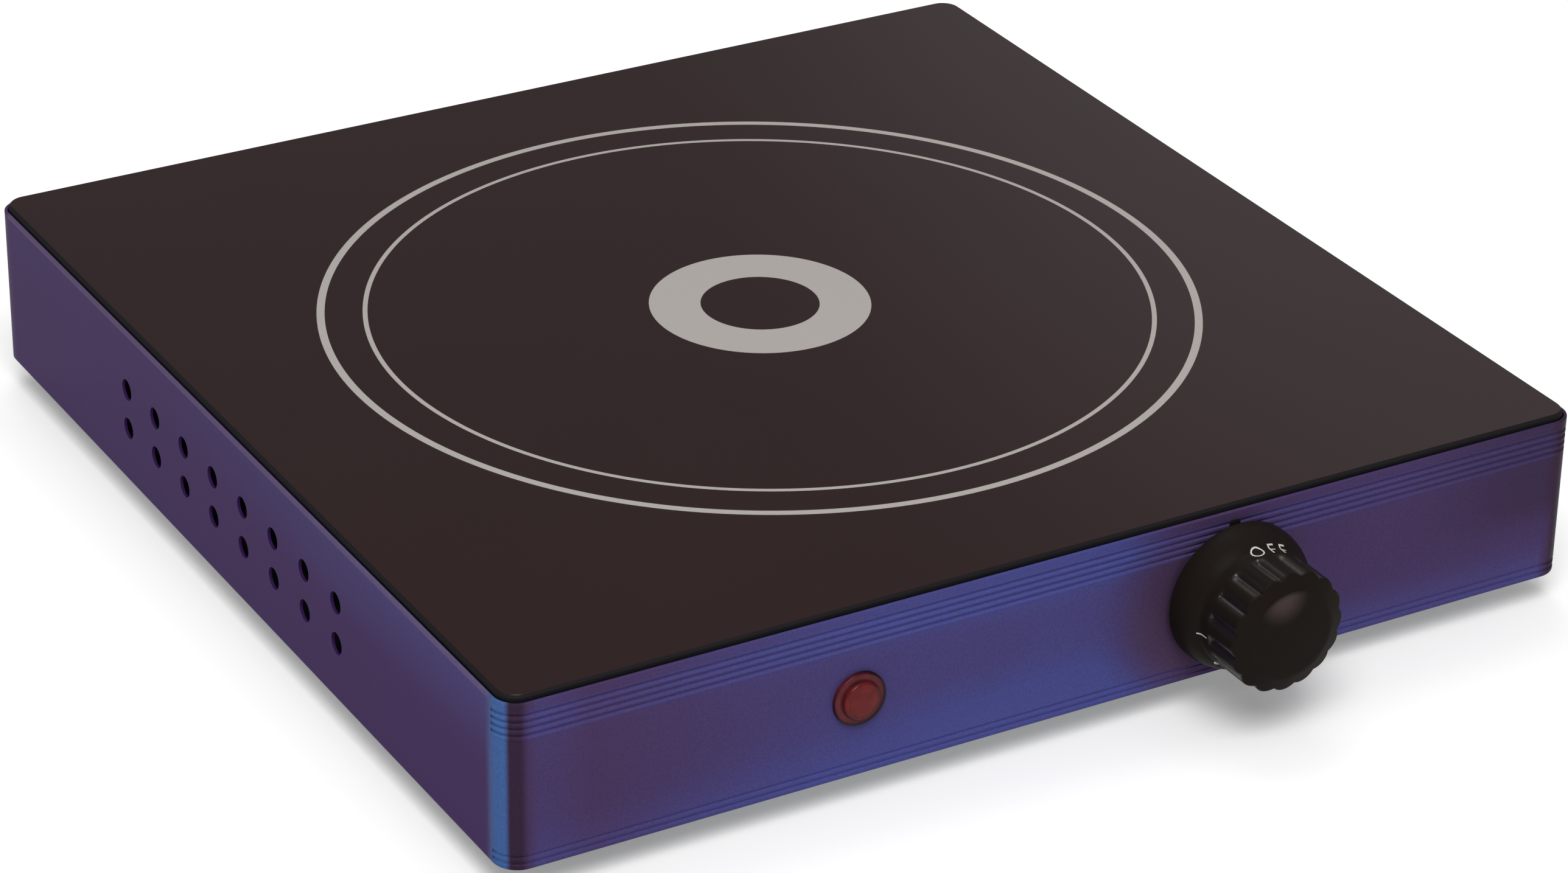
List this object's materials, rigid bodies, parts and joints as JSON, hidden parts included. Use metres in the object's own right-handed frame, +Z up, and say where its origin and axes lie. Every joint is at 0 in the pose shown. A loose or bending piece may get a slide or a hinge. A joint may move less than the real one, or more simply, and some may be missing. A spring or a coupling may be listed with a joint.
{
  "type": "hot plate burner",
  "caption": "Low square electric hot plate with a black glass-ceramic top, printed rings, a violet lacquered steel housing, a front knob and a pilot lamp.",
  "frame": {"origin": "on the table, under the middle of the whole object's outline; the middle of the cooking plate is 10.7 mm behind it", "axes": "+X to the right along the front, +Y to the rear, +Z up; the knob is on the -Y side"},
  "size_m": [0.3, 0.3314, 0.0534],
  "materials": {
    "violet_lacquer": "satin metallic lacquer on sheet steel",
    "black_glass_ceramic": "polished black-brown glass-ceramic",
    "black_plastic": "moulded thermoset, satin",
    "red_lens": "tinted clear plastic",
    "grey_rubber": "moulded",
    "zinc_steel": "zinc plated",
    "aluminised_steel": "aluminised sheet",
    "silicone": "cured bead",
    "insulation": "pressed mineral insulation",
    "resistance_alloy": "oxidised ribbon",
    "quartz": "clear tube",
    "steatite": "unglazed ceramic",
    "brown_phenolic": "moulded",
    "white_plastic": "moulded",
    "brass": "plain",
    "bulb_glass": "clear",
    "spring_steel": "blued",
    "black_wire": "silicone insulated",
    "brown_wire": "silicone insulated",
    "blue_wire": "silicone insulated",
    "white_wire": "silicone insulated",
    "green_yellow_wire": "silicone insulated"
  },
  "bodies": {
    "base": {"housing": "violet_lacquer", "glass_top": "black_glass_ceramic", "glass_seal": "silicone", "glass_frame": "zinc_steel", "base_plate": "zinc_steel", "base_screws": "zinc_steel", "foot_front_left": "grey_rubber", "foot_front_right": "grey_rubber", "foot_rear_left": "grey_rubber", "foot_rear_right": "grey_rubber", "foot_screws": "zinc_steel", "heater_pan": "aluminised_steel", "insulation_disc": "insulation", "insulation_ring": "insulation", "heater_ribbon": "resistance_alloy", "heater_leads": "resistance_alloy", "limiter_rod": "quartz", "limiter_head": "steatite", "limiter_tabs": "brass", "heater_bridge": "zinc_steel", "bridge_screws": "zinc_steel", "pan_spring_left": "spring_steel", "pan_spring_right": "spring_steel", "regulator_case": "brown_phenolic", "regulator_cover": "brown_phenolic", "regulator_screws": "zinc_steel", "regulator_tabs": "brass", "lamp_lens": "red_lens", "lamp_body": "white_plastic", "lamp_bulb": "bulb_glass", "lamp_push_nut": "spring_steel", "lamp_tabs": "brass", "cord_gland": "black_plastic", "gland_nut": "black_plastic", "terminal_block": "steatite", "terminal_screws": "brass", "block_screws": "zinc_steel", "earth_stud": "zinc_steel", "earth_nut": "brass", "wire_lamp_1": "white_wire", "wire_lamp_2": "white_wire", "wire_heater_1": "black_wire", "wire_heater_2": "black_wire", "wire_live": "brown_wire", "wire_neutral": "blue_wire", "wire_earth": "green_yellow_wire"},
    "control": {"knob": "black_plastic", "knob_clip": "spring_steel", "regulator_shaft": "zinc_steel", "regulator_cam": "white_plastic"},
    "follower": {"cam_follower": "white_plastic"}
  },
  "joints": [
    {"name": "knob_turn", "type": "hinge", "parent": "base", "child": "control", "pos_m": [0.047, -0.1393, 0.0303], "axis": [0, 1, 0], "range_deg": [0, 300]},
    {"name": "follower_slide", "type": "slide", "parent": "base", "child": "follower", "axis": [0, 0, 1], "range_m": [0, 0.0025]}
  ],
  "couplings": [
    {"joint": "follower_slide", "follows": "knob_turn", "m_per_rad": 0.00047746}
  ]
}
